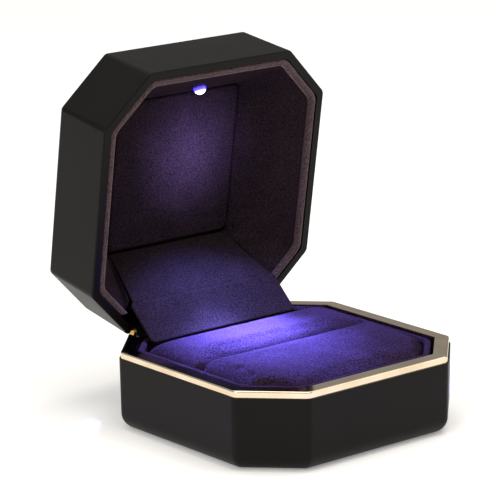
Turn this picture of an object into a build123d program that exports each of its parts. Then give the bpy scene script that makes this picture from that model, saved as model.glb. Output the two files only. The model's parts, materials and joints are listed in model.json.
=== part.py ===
from build123d import *
from math import atan2, cos, degrees, hypot, radians, sin, sqrt
import os

os.makedirs("parts", exist_ok=True)

# Ring box, in millimetres and degrees. X runs across the box, the front is -Y,
# the hinge is at +Y, and Z is up from the face that the box rests on.

# Overall sizes
box_width = 66.0
box_depth = 65.2
corner_leg = 12.0  # leg of each 45 degree cut corner, on the outer face
base_height = 17.1  # base shell alone, up to the trim ring
lid_height = 18.0
open_angle = 81.0  # how far the lid stands open, as modelled

# Moulded shells
wall = 2.0
base_floor = 2.0
base_draft = 0.22  # how far each side leans in towards the foot
lid_draft = 0.45  # how far each side leans in towards the lid's top
upright_radius = 2.0
foot_radius = 4.0
lid_top_radius = 1.2
rim_radius = 0.4

# Trim ring
trim_height = 1.6
trim_width = 3.35
trim_setback = 0.3  # from the base's outer face
trim_edge = 0.35
skirt_depth = 2.0
skirt_thickness = 0.8
skirt_gap = 0.1
lid_gap = 0.1  # between the trim ring and the closed lid

# Hinge
barrel_radius = 1.2
pin_radius = 0.6
pin_running_gap = 0.05
pin_head_radius = 0.95
pin_head_length = 0.6
hinge_setback = 0.83  # axis to the outer back face
hinge_drop = 0.32  # axis below the closed lid's rim
hinge_end_gap = 0.1716  # to the base shell's inner corner, at each end
lid_knuckle_width = 20.0
knuckle_gap = 0.1
cam_flat = 1.1  # axis to each flat of the lid's cam
cam_gap = 0.1  # cam's corner to the base shell's rim
cam_width = 8.0
notch_reach = 1.0  # how far the opening for the hinge runs past the back face's corners
notch_gap = 0.2
leaf_thickness = 0.6
leaf_seat_gap = 0.25
lid_leaf_width = 28.0
leaf_length = 9.0
lug_thickness = 0.7
lug_gap = 0.05
spring_thickness = 0.4
spring_width = 14.0
spring_length = 10.0
screw_radius = 0.55
screw_head_radius = 1.1
screw_head_height = 0.5
screw_bite = 1.2
screw_gap = 0.05
base_screw_x = 13.0
lid_screw_x = 9.5
screw_drop = 5.5  # screw line below the leaf's lug

# Cushion tray and cushions
tray_gap = 2.6  # tray to the shell's inner face
tray_wall = 1.2
tray_floor = 1.0
tray_back_gap = 5.0  # hinge axis to the tray's back face
tray_corner_gap = 4.05  # tray's back corner faces to the box's outer ones
tray_drop = 0.4  # tray rim below the trim ring's top
cushion_fit = 0.15
cover_thickness = 0.6
crown_rise = 0.9  # cushion crown above the trim ring's top
edge_drop = 1.2  # cushion edge below the trim ring's top
side_drop = 1.3  # how much lower the crown is at the cushion's two ends
slot_width = 0.8
slot_y = 0.5
bay_gap = 12.5  # hinge axis to the back of the rear cushion
bay_shoulder = 1.4  # how far its top overhangs the flap bay
bay_shoulder_drop = 3.2  # start of that overhang below the trim ring's top
bay_edge_drop = 1.1

# Hinge bay cover
cover_gap = 0.15
cover_sheet = 0.9
cover_drop = 0.1  # top face below the base shell's rim

# Lid lining and its ceiling board
lip_width = 1.5
lip_thickness = 1.4
lip_recess = 0.15
lip_radius = 0.6
lining_thickness = 1.1
lining_gap = 0.1
ceiling_side_margin = 14.8  # outer face to the board's edge
ceiling_front_margin = 12.4
ceiling_flap_gap = 1.0
ceiling_thickness = 2.0
ceiling_radius = 1.0
ceiling_fit = 0.2
lip_end_gap = 5.1  # hinge axis to the lip's cut ends
deep_leg = 0.8  # small cut at the corners of the lining's deep edge

# Flap between lid and base
crease_reach = 7.47  # hinge axis to the crease, towards the front
crease_out = 0.57  # crease outside the lid's rim
upper_lean = 6.1  # how far in front of the crease the upper board's deep end is
upper_side_gap = 0.3  # its wide end, at the crease, inside the back face's corners
upper_taper = 3.5  # how much nearer the middle each side is at its deep end
lower_side_reach = 0.9  # lower board past the back face's corners
lower_length = 11.5
lower_angle_open = 43.4  # below the horizontal
flap_thickness = 0.9
flap_gap = 1.0
crease_gap = 0.5
flap_top_radius = 3.0
flap_foot_radius = 1.5

# Lamp
led_radius = 1.5
led_straight = 0.6
led_flange_radius = 1.9
led_flange = 0.8
led_ceiling_gap = 6.5  # ceiling board's depth less the lamp's, on the front slope
led_fit = 0.05
led_leg_radius = 0.25
led_leg_pitch = 1.2
holder_radius = 3.0
holder_floor = 1.4
lead_radius = 0.35
lead_step = 0.9
lead_bend = 0.8
lead_side_margin = 6.0
lead_corner = 1.5
lead_turn_cut = 4.5  # box's corner leg less the leads' own
lead_board_gap = 2.7

# Cells, board and switch
cell_radius = 3.95
cell_thickness = 3.6
cell_pitch = 8.5
cell_count = 3
cell_fit = 0.15
case_back = 0.8
case_wall = 1.0
case_middle_x = -5.0
case_rear_gap = 0.1  # to the lid leaf's screw heads
strip_thickness = 0.25
strip_width = 3.0
board_thickness = 0.8
board_width = 10.5
board_start = 2.0
board_end_gap = 0.2
switch_width = 5.0
switch_depth = 2.4
switch_height = 3.6
switch_start = 1.4
switch_x = 14.0
plunger_width = 1.8
plunger_depth = 1.2
plunger_fit = 0.08
plunger_travel = 1.0
plunger_touch = 0.05
plunger_inside = 0.8
plunger_spare = 0.3

# Levels and lines that follow from them
half_width = box_width / 2
half_depth = box_depth / 2
trim_top = base_height + trim_height
rim_z = trim_top + lid_gap
hinge_y = half_depth - hinge_setback
hinge_z = rim_z - hinge_drop
notch_depth = hinge_z + barrel_radius + notch_gap - rim_z
corner_notch = half_width - corner_leg + notch_reach
hinge_width = 2 * (half_width - corner_leg - wall * (sqrt(2) - 1) - hinge_end_gap)
lid_inner_depth = lid_height - wall
ceiling_depth = lid_inner_depth - ceiling_thickness
led_depth = ceiling_depth - led_ceiling_gap
lead_front_turn = corner_leg - lead_turn_cut
tray_inset = wall + tray_gap
tray_top = trim_top - tray_drop
tray_back_y = hinge_y - tray_back_gap
back_corner_reach = half_width + half_depth - corner_leg - sqrt(2) * tray_corner_gap
tray_back_leg = half_width - tray_inset + tray_back_y - back_corner_reach
leaf_back_y = half_depth - wall - leaf_seat_gap
leaf_front_y = leaf_back_y - leaf_thickness
cam_corner = hinge_z - base_height - cam_gap
lug_z = base_height + lug_gap
lid_lug_z = hinge_z + barrel_radius - lug_thickness
base_screw_z = lug_z - screw_drop
lid_screw_z = lid_lug_z + screw_drop
crease_y = hinge_y - crease_reach
crease_z = rim_z - crease_out
upper_end_y = crease_y - upper_lean
upper_half_width = half_width - corner_leg - upper_side_gap
lower_half_width = half_width - corner_leg + lower_side_reach
ceiling_half_width = half_width - ceiling_side_margin
ceiling_front_y = ceiling_front_margin - half_depth
ceiling_back_y = upper_end_y - ceiling_flap_gap
lip_inset = wall + lining_gap + lip_width
case_rear_y = leaf_front_y - screw_head_height - case_rear_gap
cell_rear_y = case_rear_y - case_back
cell_front_y = cell_rear_y - cell_thickness
cell_z = rim_z + lid_inner_depth - case_wall - cell_radius - cell_fit
case_half_height = cell_radius + cell_fit + case_wall
case_half_width = (cell_count - 1) * cell_pitch / 2 + cell_radius + cell_fit + case_wall
board_x = case_middle_x + case_half_width
board_rear_y = case_rear_y - switch_depth
board_front_y = board_rear_y - board_thickness
striker_z = base_height - cover_drop
plunger_tip_z = striker_z + plunger_touch - plunger_travel

# The lid is drawn closed and stands open: this swings it about the hinge.
lid_swing = Location((0, hinge_y, hinge_z), (-open_angle, 0, 0)) * Location((0, -hinge_y, -hinge_z))


def in_lid(plane):
    """A plane of the closed lid, swung open with it."""
    return Plane(lid_swing * plane.location)


def swung(point):
    """A point of the closed lid, swung open with it."""
    return (lid_swing * Location(Vector(point))).position


def lid_level(depth):
    """The level plane at a depth inside the closed lid, measured from its rim."""
    return in_lid(Plane.XY.offset(rim_z + depth))


def lid_slice(x):
    """The upright plane across the closed lid at x, with Y and Z as its own axes."""
    return in_lid(Plane.YZ.offset(x))


def facing_front(x, y, z):
    """An upright plane at a point, facing the front, with X and Z as its own axes."""
    return Plane(origin=(x, y, z), x_dir=(1, 0, 0), z_dir=(0, -1, 0))


lid_up = Axis(lid_level(0).origin, lid_level(0).z_dir)


def eight_corners(half_x, front, back, front_leg, back_leg):
    """Corners of a plan with its four corners cut at 45 degrees."""
    return [
        (-half_x, front + front_leg),
        (front_leg - half_x, front),
        (half_x - front_leg, front),
        (half_x, front + front_leg),
        (half_x, back - back_leg),
        (half_x - back_leg, back),
        (back_leg - half_x, back),
        (-half_x, back - back_leg),
    ]


def narrowed(leg, inset):
    """The leg of a 45 degree corner after its outline moves in by inset."""
    return leg - inset * (2 - sqrt(2))


def box_outline(inset):
    """Plan of the box, moved in from its outer face."""
    leg = narrowed(corner_leg, inset)
    reach = half_depth - inset
    return eight_corners(half_width - inset, -reach, reach, leg, leg)


def tray_outline(inset):
    """Plan of the cushion tray, moved in from its outer face."""
    front_leg = narrowed(corner_leg, tray_inset + inset)
    back_leg = narrowed(tray_back_leg, inset)
    front = tray_inset + inset - half_depth
    return eight_corners(half_width - tray_inset - inset, front, tray_back_y - inset, front_leg, back_leg)


def lining_outline(spread):
    """Plan of the lid lining's deep edge, moved out by spread."""
    half_x = ceiling_half_width + ceiling_fit + spread
    front = ceiling_front_y - ceiling_fit - spread
    return eight_corners(half_x, front, ceiling_back_y + ceiling_fit + spread, deep_leg, deep_leg)


def save(piece, name):
    """Label a finished piece and write it to its own file."""
    piece.part.label = name
    export_step(piece.part, f"parts/{name}.step")


# Screws: each place is the plane that the head sits on, facing away from the wall.
base_screw_seats = [
    facing_front(-base_screw_x, leaf_front_y, base_screw_z),
    facing_front(0, leaf_front_y - spring_thickness, base_screw_z),
    facing_front(base_screw_x, leaf_front_y, base_screw_z),
]
lid_screw_seats = [in_lid(facing_front(x, leaf_front_y, lid_screw_z)) for x in (-lid_screw_x, lid_screw_x)]
screw_tip_y = half_depth - wall + screw_bite


def make_screws(name, seats):
    """Pan-head screws, one solid at each seat."""
    with BuildPart() as screws:
        for seat in seats:
            seat_y = leaf_front_y
            if seat is base_screw_seats[1]:
                seat_y -= spring_thickness
            with BuildSketch(seat):
                Circle(screw_head_radius)
            extrude(amount=screw_head_height)
            with BuildSketch(seat):
                Circle(screw_radius)
            extrude(amount=seat_y - screw_tip_y)
    save(screws, name)


# Base


def make_base_shell():
    """The moulded lower shell, open at the top."""
    taper = degrees(atan2(base_draft, base_height))
    with BuildPart() as base_shell:
        with BuildSketch(Plane.XY.offset(base_height)) as outer:
            Polygon(*box_outline(0), align=None)
            fillet(outer.vertices(), upright_radius)
        extrude(amount=-base_height, taper=taper)
        fillet(base_shell.edges().group_by(Axis.Z)[0], foot_radius)
        with BuildSketch(Plane.XY.offset(base_height)) as inner:
            Polygon(*box_outline(wall), align=None)
            fillet(inner.vertices(), upright_radius)
        extrude(amount=base_floor - base_height, taper=taper, mode=Mode.SUBTRACT)
        for x in (-base_screw_x, 0, base_screw_x):
            with BuildSketch(facing_front(x, screw_tip_y, base_screw_z)):
                Circle(screw_radius)
            extrude(amount=wall, mode=Mode.SUBTRACT)
    save(base_shell, "base_shell")


def make_trim_ring():
    """The polished ring on the base's rim, open at the back for the hinge."""
    skirt_inset = wall + skirt_gap
    with BuildPart() as trim_ring:
        with BuildSketch(Plane.XY.offset(base_height)) as flange:
            Polygon(*box_outline(trim_setback), align=None)
            fillet(flange.vertices(), upright_radius)
        extrude(amount=trim_height)
        fillet(trim_ring.edges().group_by(Axis.Z)[-1], trim_edge)
        with BuildSketch(Plane.XY.offset(base_height - skirt_depth)) as skirt:
            Polygon(*box_outline(skirt_inset), align=None)
            fillet(skirt.vertices(), upright_radius)
        extrude(amount=skirt_depth)
        with BuildSketch(Plane.XY.offset(base_height - skirt_depth)):
            Polygon(*box_outline(skirt_inset + skirt_thickness), align=None)
        extrude(amount=skirt_depth, mode=Mode.SUBTRACT)
        with BuildSketch(Plane.XY.offset(base_height)):
            Polygon(*box_outline(trim_setback + trim_width), align=None)
        extrude(amount=trim_height, mode=Mode.SUBTRACT)
        with BuildSketch(Plane.XY.offset(base_height - skirt_depth)):
            with Locations((0, half_depth)):
                Rectangle(2 * corner_notch, corner_leg)
        extrude(amount=skirt_depth + trim_height, mode=Mode.SUBTRACT)
    save(trim_ring, "trim_ring")


def make_cushion_tray():
    """The tray that holds both cushions, with a rounded rim."""
    with BuildPart() as cushion_tray:
        with BuildSketch(Plane.XY.offset(base_floor)):
            Polygon(*tray_outline(0), align=None)
        extrude(amount=tray_top - base_floor)
        with BuildSketch(Plane.XY.offset(base_floor + tray_floor)):
            Polygon(*tray_outline(tray_wall), align=None)
        extrude(amount=tray_top - base_floor - tray_floor, mode=Mode.SUBTRACT)
        fillet(cushion_tray.edges().group_by(Axis.Z)[-1], 0.45 * tray_wall)
    save(cushion_tray, "cushion_tray")


def shrunk(face, shift, floor_z):
    """A cushion face moved sideways by shift, with its top lowered by the same amount."""
    drop = abs(shift)
    return [(y + shift, max(z - drop, floor_z + drop)) for y, z in face]


def cushion_form(front_face, back_face, skin):
    """The crowned block inside a skin. Each face is a list of (y, z) points going up."""
    floor_z = front_face[0][1]
    crown_z = trim_top + crown_rise
    half_x = half_width - tray_inset - tray_wall - cushion_fit - skin
    near = shrunk(front_face, skin, floor_z)
    far = shrunk(back_face, -skin, floor_z)
    middle_y = (near[-1][0] + far[-1][0]) / 2
    end_z = crown_z - side_drop - skin
    with BuildPart(mode=Mode.PRIVATE) as form:
        with BuildSketch(Plane.YZ):
            with BuildLine():
                Polyline(*reversed(near), *far)
                ThreePointArc(near[-1], (middle_y, crown_z - skin), far[-1])
            make_face()
        extrude(amount=half_x, both=True)
        with BuildSketch(Plane.XZ):
            with BuildLine():
                Polyline((-half_x, end_z), (-half_x, 0), (half_x, 0), (half_x, end_z))
                ThreePointArc((-half_x, end_z), (0, crown_z - skin), (half_x, end_z))
            make_face()
        extrude(amount=half_depth, both=True, mode=Mode.INTERSECT)
        with BuildSketch(Plane.XY):
            Polygon(*tray_outline(tray_wall + cushion_fit + skin), align=None)
        extrude(amount=crown_z, mode=Mode.INTERSECT)
    return form.part


def make_cushion(name, front_face, back_face):
    """A crowned foam block and the cover that wraps it."""
    with BuildPart() as foam:
        add(cushion_form(front_face, back_face, cover_thickness))
    save(foam, f"{name}_cushion_foam")
    with BuildPart() as cover:
        add(cushion_form(front_face, back_face, 0))
        add(foam.part, mode=Mode.SUBTRACT)
    save(cover, f"{name}_cushion_cover")


def make_cushions():
    """The two cushions, with the ring slot between them."""
    floor_z = base_floor + tray_floor + cushion_fit
    edge_z = trim_top - edge_drop
    front_y = tray_inset + tray_wall + cushion_fit - half_depth
    slot_front = slot_y - slot_width / 2
    slot_back = slot_y + slot_width / 2
    bay_y = hinge_y - bay_gap
    front_face = [(front_y, floor_z), (front_y, edge_z)]
    make_cushion("front", front_face, [(slot_front, floor_z), (slot_front, edge_z)])
    back_face = [
        (bay_y, floor_z),
        (bay_y, trim_top - bay_shoulder_drop),
        (bay_y + bay_shoulder, trim_top - bay_edge_drop),
    ]
    make_cushion("rear", [(slot_back, floor_z), (slot_back, edge_z)], back_face)


def make_hinge_bay_cover():
    """The black angle strip that closes the hinge bay behind the tray."""
    front_y = tray_back_y + cover_gap
    back_y = leaf_front_y - spring_thickness - cover_gap
    with BuildPart() as hinge_bay_cover:
        with BuildSketch(Plane.XY.offset(striker_z)):
            Polygon(*box_outline(wall + skirt_gap + skirt_thickness + cover_gap), align=None)
            with Locations((0, (front_y + back_y) / 2)):
                Rectangle(box_width, back_y - front_y, mode=Mode.INTERSECT)
        extrude(amount=-cover_sheet)
        with BuildSketch(Plane.XY.offset(base_floor)):
            with Locations((0, front_y + cover_sheet / 2)):
                Rectangle(hinge_width, cover_sheet)
        extrude(amount=striker_z - base_floor)
    save(hinge_bay_cover, "hinge_bay_cover")


# Hinge


def make_base_hinge_leaf():
    """The fixed hinge plate with a rolled knuckle at each end."""
    knuckle = (hinge_width - lid_knuckle_width) / 2 - knuckle_gap
    middle_top = lug_z - knuckle_gap
    with BuildPart() as base_hinge_leaf:
        with BuildSketch(Plane.YZ.offset(-hinge_width / 2)):
            with Locations(((leaf_front_y + leaf_back_y) / 2, middle_top - leaf_length / 2)):
                Rectangle(leaf_thickness, leaf_length)
        extrude(amount=hinge_width)
        for start in (-hinge_width / 2, hinge_width / 2 - knuckle):
            with BuildSketch(Plane.YZ.offset(start)):
                with Locations((leaf_front_y, middle_top)):
                    Rectangle(leaf_thickness, lug_thickness + knuckle_gap, align=Align.MIN)
                with Locations((leaf_front_y, lug_z)):
                    Rectangle(hinge_y - leaf_front_y, lug_thickness, align=Align.MIN)
                with Locations((hinge_y, hinge_z)):
                    Circle(barrel_radius)
                    Circle(pin_radius, mode=Mode.SUBTRACT)
            extrude(amount=knuckle)
        for seat in base_screw_seats:
            with BuildSketch(seat):
                Circle(screw_radius + screw_gap)
            extrude(amount=-wall, mode=Mode.SUBTRACT)
    save(base_hinge_leaf, "base_hinge_leaf")


def make_lid_hinge_leaf():
    """The moving hinge plate: its middle knuckle carries the cam."""
    half_knuckle = lid_knuckle_width / 2
    bore = pin_radius + pin_running_gap
    with BuildPart() as lid_hinge_leaf:
        with BuildSketch(lid_slice(-half_knuckle)):
            with Locations((leaf_front_y, lid_lug_z)):
                Rectangle(hinge_y - leaf_front_y, lug_thickness, align=Align.MIN)
        extrude(amount=lid_knuckle_width)
        for start in (-half_knuckle, cam_width / 2):
            with BuildSketch(lid_slice(start)):
                with Locations((hinge_y, hinge_z)):
                    Circle(barrel_radius)
            extrude(amount=half_knuckle - cam_width / 2)
        with BuildSketch(lid_slice(-lid_leaf_width / 2)):
            with Locations((leaf_front_y, lid_lug_z + lug_thickness + notch_gap)):
                Rectangle(leaf_thickness, leaf_length, align=Align.MIN)
        extrude(amount=lid_leaf_width)
        with BuildSketch(lid_slice(-half_knuckle)):
            with Locations((leaf_front_y, lid_lug_z)):
                Rectangle(leaf_thickness, leaf_length, align=Align.MIN)
        extrude(amount=lid_knuckle_width)
        with BuildSketch(lid_slice(-cam_width / 2)):
            with Locations((hinge_y, hinge_z)):
                Circle(cam_corner)
                Rectangle(2 * cam_flat, 2 * cam_flat, mode=Mode.INTERSECT)
        extrude(amount=cam_width)
        with BuildSketch(lid_slice(-half_knuckle)):
            with Locations((hinge_y, hinge_z)):
                Circle(bore)
        extrude(amount=lid_knuckle_width, mode=Mode.SUBTRACT)
        for seat in lid_screw_seats:
            with BuildSketch(seat):
                Circle(screw_radius + screw_gap)
            extrude(amount=-wall, mode=Mode.SUBTRACT)
    save(lid_hinge_leaf, "lid_hinge_leaf")


def make_hinge_pin():
    """The brass pin, with a head against each end knuckle."""
    with BuildPart() as hinge_pin:
        with BuildSketch(Plane.YZ.offset(-hinge_width / 2)):
            with Locations((hinge_y, hinge_z)):
                Circle(pin_radius)
        extrude(amount=hinge_width)
        for side in (-1, 1):
            with BuildSketch(Plane.YZ.offset(side * hinge_width / 2)):
                with Locations((hinge_y, hinge_z)):
                    Circle(pin_head_radius)
            extrude(amount=side * pin_head_length)
        fillet(hinge_pin.edges().group_by(Axis.X)[-1], 0.45 * pin_head_length)
        fillet(hinge_pin.edges().group_by(Axis.X)[0], 0.45 * pin_head_length)
    save(hinge_pin, "hinge_pin")


def make_hinge_spring():
    """The flat spring that bears on the cam."""
    spring_top = lid_lug_z - knuckle_gap
    with BuildPart() as hinge_spring:
        with BuildSketch(Plane.YZ.offset(-spring_width / 2)):
            with Locations((leaf_front_y, spring_top)):
                Rectangle(spring_thickness, spring_length, align=Align.MAX)
        extrude(amount=spring_width)
        with BuildSketch(base_screw_seats[1]):
            Circle(screw_radius + screw_gap)
        extrude(amount=-wall, mode=Mode.SUBTRACT)
    save(hinge_spring, "hinge_spring")


# Lid


def make_lid_shell():
    """The moulded upper shell, open at its rim."""
    taper = degrees(atan2(lid_draft, lid_height))
    with BuildPart() as lid_shell:
        with BuildSketch(lid_level(0)) as outer:
            Polygon(*box_outline(0), align=None)
            fillet(outer.vertices(), upright_radius)
        extrude(amount=lid_height, taper=taper)
        fillet(lid_shell.edges().group_by(lid_up)[-1], lid_top_radius)
        fillet(lid_shell.edges().group_by(lid_up)[0], rim_radius)
        with BuildSketch(lid_level(0)) as inner:
            Polygon(*box_outline(wall), align=None)
            fillet(inner.vertices(), upright_radius)
        extrude(amount=lid_inner_depth, taper=taper, mode=Mode.SUBTRACT)
        with BuildSketch(lid_level(0)):
            with Locations((0, half_depth)):
                Rectangle(2 * corner_notch + 2 * notch_gap, 2 * (wall + hinge_setback))
        extrude(amount=notch_depth, mode=Mode.SUBTRACT)
        for x in (-lid_screw_x, lid_screw_x):
            with BuildSketch(in_lid(facing_front(x, screw_tip_y, lid_screw_z))):
                Circle(screw_radius)
            extrude(amount=wall, mode=Mode.SUBTRACT)
    save(lid_shell, "lid_shell")


def lamp_point(across, along):
    """A point at the lamp: across its axis up the slope, and along it into the room."""
    reach = half_depth - lip_inset + ceiling_front_y - ceiling_fit
    drop = ceiling_depth
    length = hypot(reach, drop)
    y = led_depth / drop * reach - half_depth + lip_inset
    y += across * reach / length + along * drop / length
    z = rim_z + led_depth + across * drop / length - along * reach / length
    return Vector(0, y, z)


lamp_axis_dir = lamp_point(0, 1) - lamp_point(0, 0)


def lamp_plane(along):
    """The plane square to the lamp's axis, facing the room."""
    return in_lid(Plane(origin=lamp_point(0, along), x_dir=(1, 0, 0), z_dir=lamp_axis_dir))


flange_front = -lining_thickness
flange_back = flange_front - led_flange
holder_back = flange_back - holder_floor


def make_lid_lining():
    """The formed lining: a rolled lip at the rim and slopes down to the ceiling."""
    deep = ceiling_depth + ceiling_fit
    with BuildPart() as lid_lining:
        with BuildSketch(lid_level(lip_recess)) as lip:
            Polygon(*box_outline(wall + lining_gap), align=None)
            fillet(lip.vertices(), upright_radius)
        extrude(amount=lip_thickness)
        fillet(lid_lining.edges().group_by(lid_up)[0], lip_radius)
        with BuildSketch(lid_level(lip_recess)):
            Polygon(*box_outline(lip_inset - lining_thickness), align=None)
        with BuildSketch(lid_level(deep)):
            Polygon(*lining_outline(lining_thickness), align=None)
        loft(ruled=True)
        with BuildSketch(lid_level(0)):
            Polygon(*box_outline(lip_inset), align=None)
        with BuildSketch(lid_level(deep)):
            Polygon(*lining_outline(0), align=None)
        loft(ruled=True, mode=Mode.SUBTRACT)
        with BuildSketch(lid_level(0)):
            with Locations((0, hinge_y - lip_end_gap)):
                Rectangle(box_width, box_depth, align=(Align.CENTER, Align.MIN))
        extrude(amount=lid_height, mode=Mode.SUBTRACT)
        with BuildSketch(lid_slice(-upper_half_width - flap_gap)):
            Polygon(
                (crease_y - flap_gap, rim_z),
                (upper_end_y - flap_gap, rim_z + ceiling_depth),
                (upper_end_y - flap_gap, rim_z + lid_height),
                (half_depth, rim_z + lid_height),
                (half_depth, rim_z),
                align=None,
            )
        extrude(amount=2 * (upper_half_width + flap_gap), mode=Mode.SUBTRACT)
        with BuildSketch(lamp_plane(flange_back)):
            Circle(led_radius + led_fit)
        extrude(amount=2 * led_flange + lining_thickness, mode=Mode.SUBTRACT)
    save(lid_lining, "lid_lining")


def make_ceiling_panel():
    """The padded board at the bottom of the lid."""
    width = 2 * ceiling_half_width
    length = ceiling_back_y - ceiling_front_y
    with BuildPart() as ceiling_panel:
        with BuildSketch(lid_level(ceiling_depth)):
            with Locations((0, (ceiling_back_y + ceiling_front_y) / 2)):
                RectangleRounded(width, length, ceiling_radius)
        extrude(amount=ceiling_thickness)
        fillet(ceiling_panel.edges().group_by(lid_up)[0], ceiling_radius / 2)
    save(ceiling_panel, "ceiling_panel")


def make_flap_upper_board():
    """The upper flap board, fixed in the lid: it narrows from the crease to the ceiling."""
    deep_z = rim_z + ceiling_depth
    crease_end_z = crease_z + crease_gap
    deep_half_width = upper_half_width - upper_taper
    with BuildPart() as flap_upper_board:
        with BuildSketch(lid_slice(-upper_half_width)):
            with BuildLine():
                Line((upper_end_y, deep_z), (crease_y, crease_end_z))
            trace(line_width=flap_thickness)
        extrude(amount=2 * upper_half_width)
        with BuildSketch(in_lid(facing_front(0, 0, 0))):
            Polygon(
                (-upper_half_width, crease_end_z - flap_thickness),
                (upper_half_width, crease_end_z - flap_thickness),
                (deep_half_width, deep_z + flap_thickness),
                (-deep_half_width, deep_z + flap_thickness),
                align=None,
            )
        extrude(amount=half_depth, both=True, mode=Mode.INTERSECT)
    save(flap_upper_board, "flap_upper_board")


def make_flap_lower_board():
    """The lower flap board, which slides down behind the rear cushion as the lid shuts."""
    crease = swung((0, crease_y, crease_z))
    lean = radians(lower_angle_open)
    board_plane = Plane(origin=crease, x_dir=(1, 0, 0), z_dir=(0, -sin(lean), cos(lean)))
    with BuildPart() as flap_lower_board:
        with BuildSketch(board_plane) as board:
            with Locations((0, -crease_gap)):
                Rectangle(2 * lower_half_width, lower_length - crease_gap, align=(Align.CENTER, Align.MAX))
            fillet(board.vertices().group_by(Axis.Y)[-1], flap_top_radius)
            fillet(board.vertices().group_by(Axis.Y)[0], flap_foot_radius)
        extrude(amount=flap_thickness / 2, both=True)
    save(flap_lower_board, "flap_lower_board")


# Lamp and its circuit


def make_led():
    """The lamp: a domed body with a flange and two legs."""
    across = Vector(1, 0, 0)
    section = in_lid(Plane(origin=lamp_point(0, 0), x_dir=across, z_dir=across.cross(lamp_axis_dir)))
    with BuildPart() as led:
        with BuildSketch(section):
            with BuildLine():
                Polyline(
                    (0, led_straight + led_radius),
                    (0, flange_back),
                    (led_flange_radius, flange_back),
                    (led_flange_radius, flange_front),
                    (led_radius, flange_front),
                    (led_radius, led_straight),
                )
                RadiusArc((led_radius, led_straight), (0, led_straight + led_radius), -led_radius)
            make_face()
        revolve(axis=Axis(section.origin, section.y_dir))
        with BuildSketch(lamp_plane(holder_back)):
            with Locations((0, -led_leg_pitch / 2), (0, led_leg_pitch / 2)):
                Circle(led_leg_radius)
        extrude(amount=holder_floor)
    save(led, "led")


def make_led_holder():
    """The black cup that holds the lamp behind the lining."""
    with BuildPart() as led_holder:
        with BuildSketch(lamp_plane(holder_back)):
            Circle(holder_radius)
        extrude(amount=led_flange + holder_floor - led_fit)
        with BuildSketch(lamp_plane(flange_back)):
            Circle(led_flange_radius + led_fit)
        extrude(amount=led_flange, mode=Mode.SUBTRACT)
        with BuildSketch(lamp_plane(holder_back)):
            with Locations((0, -led_leg_pitch / 2), (0, led_leg_pitch / 2)):
                Circle(led_leg_radius + led_fit)
        extrude(amount=holder_floor, mode=Mode.SUBTRACT)
    save(led_holder, "led_holder")


def make_leads():
    """Two leads from the lamp round the lining to the board."""
    side_x = half_width - lead_side_margin
    for name, across in (("lead_positive", -led_leg_pitch / 2), ("lead_negative", led_leg_pitch / 2)):
        turn = lamp_point(across, holder_back - lead_step)
        end_x = switch_x + across
        turn_y = board_front_y - lead_board_gap
        route = [
            lamp_point(across, holder_back),
            turn,
            (side_x - lead_front_turn, turn.Y, turn.Z),
            (side_x, turn.Y + lead_front_turn, turn.Z),
            (side_x, turn_y - lead_front_turn, turn.Z),
            (upper_half_width + flap_gap + lead_corner, turn_y, turn.Z),
            (end_x, turn_y, turn.Z),
            (end_x, board_front_y, turn.Z),
        ]
        with BuildPart() as lead:
            with BuildLine() as path:
                FilletPolyline(*[swung(point) for point in route], radius=lead_bend)
            with BuildSketch(Plane(origin=path.line @ 0, z_dir=path.line % 0)):
                Circle(lead_radius)
            sweep()
        save(lead, name)


def make_battery_case():
    """The open-fronted case that holds the cells in a row."""
    with BuildPart() as battery_case:
        with BuildSketch(in_lid(facing_front(case_middle_x, case_rear_y, cell_z))):
            Rectangle(2 * case_half_width, 2 * case_half_height)
        extrude(amount=case_back + cell_thickness)
        with BuildSketch(in_lid(facing_front(case_middle_x, cell_rear_y, cell_z))):
            with GridLocations(cell_pitch, 0, cell_count, 1):
                Circle(cell_radius + cell_fit)
        extrude(amount=cell_thickness, mode=Mode.SUBTRACT)
    save(battery_case, "battery_case")


def make_cells():
    """The button cells."""
    with BuildPart() as button_cells:
        with BuildSketch(in_lid(facing_front(case_middle_x, cell_rear_y, cell_z))):
            with GridLocations(cell_pitch, 0, cell_count, 1):
                Circle(cell_radius)
        extrude(amount=cell_thickness)
        fillet(button_cells.edges().filter_by(GeomType.CIRCLE), cell_fit)
    save(button_cells, "button_cells")


def make_battery_contacts():
    """The strips across the cells: one joins two cells, one runs to the board."""
    strip_length = cell_pitch + strip_width
    first_pair_x = case_middle_x - cell_pitch * (cell_count - 2) / 2
    last_cell_x = case_middle_x + cell_pitch * (cell_count - 1) / 2
    with BuildPart() as battery_contacts:
        with BuildSketch(in_lid(facing_front(first_pair_x, cell_front_y, cell_z))):
            RectangleRounded(strip_length, strip_width, strip_width / 3)
        extrude(amount=strip_thickness)
        with BuildSketch(in_lid(facing_front(last_cell_x, cell_front_y, cell_z))):
            Rectangle(board_x - last_cell_x + strip_thickness, strip_width, align=(Align.MIN, Align.CENTER))
        extrude(amount=strip_thickness)
        with BuildSketch(in_lid(facing_front(board_x, cell_front_y, cell_z))):
            Rectangle(strip_thickness, strip_width, align=(Align.MIN, Align.CENTER))
        extrude(amount=cell_front_y - board_front_y)
    save(battery_contacts, "battery_contacts")


def make_circuit_board():
    """The small board beside the case."""
    board_height = lid_inner_depth - board_end_gap - board_start
    with BuildPart() as circuit_board:
        with BuildSketch(in_lid(facing_front(board_x, board_rear_y, rim_z + board_start))):
            Rectangle(board_width, board_height, align=Align.MIN)
        extrude(amount=board_thickness)
    save(circuit_board, "circuit_board")


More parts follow.
